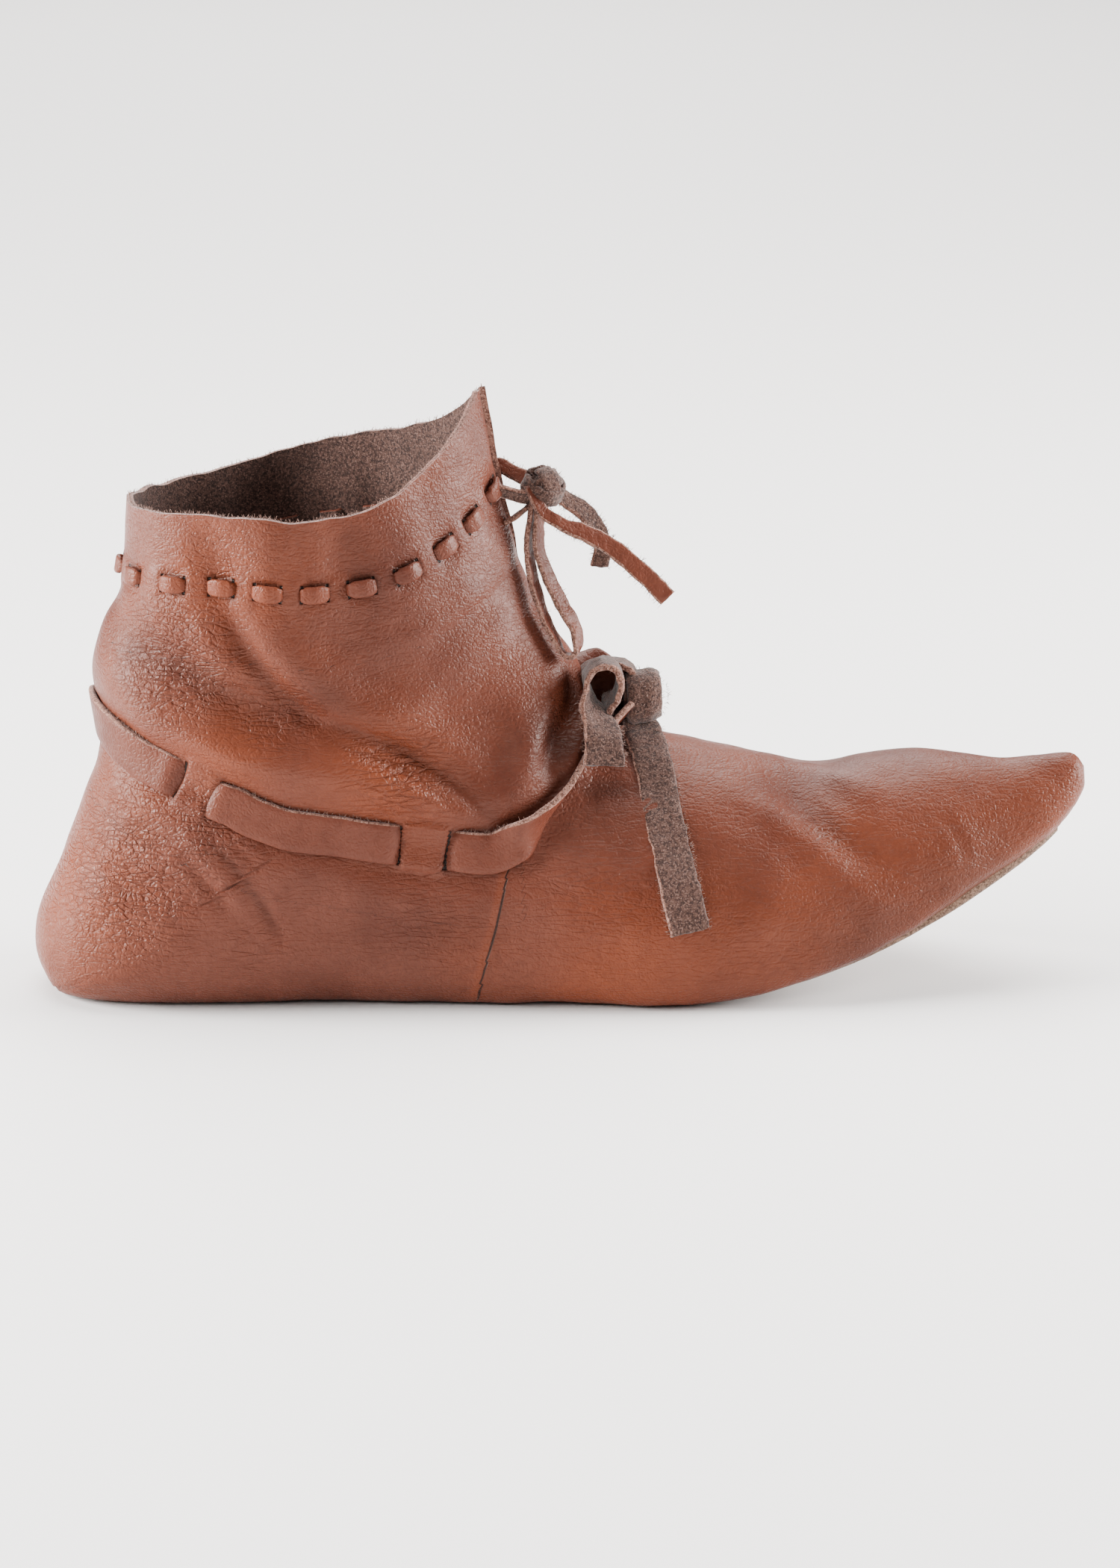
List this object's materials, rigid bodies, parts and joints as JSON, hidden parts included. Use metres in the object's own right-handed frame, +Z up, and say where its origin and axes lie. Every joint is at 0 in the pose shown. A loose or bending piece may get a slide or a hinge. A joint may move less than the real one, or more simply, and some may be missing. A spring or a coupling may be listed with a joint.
{
  "type": "medieval turnshoe",
  "caption": "Soft leather ankle shoe with a pointed, turned-up toe, a thong woven round the collar and a strap woven round the ankle.",
  "frame": {"origin": "on the flat of the sole's underside, at mid-length of the shoe, on the line through heel and ball", "axes": "+X towards the toe, +Y towards the outer side of the left foot, +Z up"},
  "size_m": [0.2896, 0.0924, 0.1639],
  "materials": {
    "upper_leather": "soft grained tan leather with a low sheen",
    "sole_leather": "undyed sole leather with a pale cut edge",
    "strap_leather": "tan leather with a pale cut edge",
    "strap_suede": "brown-grey flesh side with a short nap"
  },
  "bodies": {
    "root": {"upper": "upper_leather", "sole": "sole_leather", "collar_thong": "strap_leather", "ankle_strap": "strap_leather", "collar_knot": "strap_suede", "collar_loop": "strap_suede", "collar_end_long": "strap_suede", "collar_end_short": "strap_suede", "strap_knot": "strap_suede", "strap_loop": "strap_suede", "strap_end": "strap_suede"}
  },
  "joints": []
}
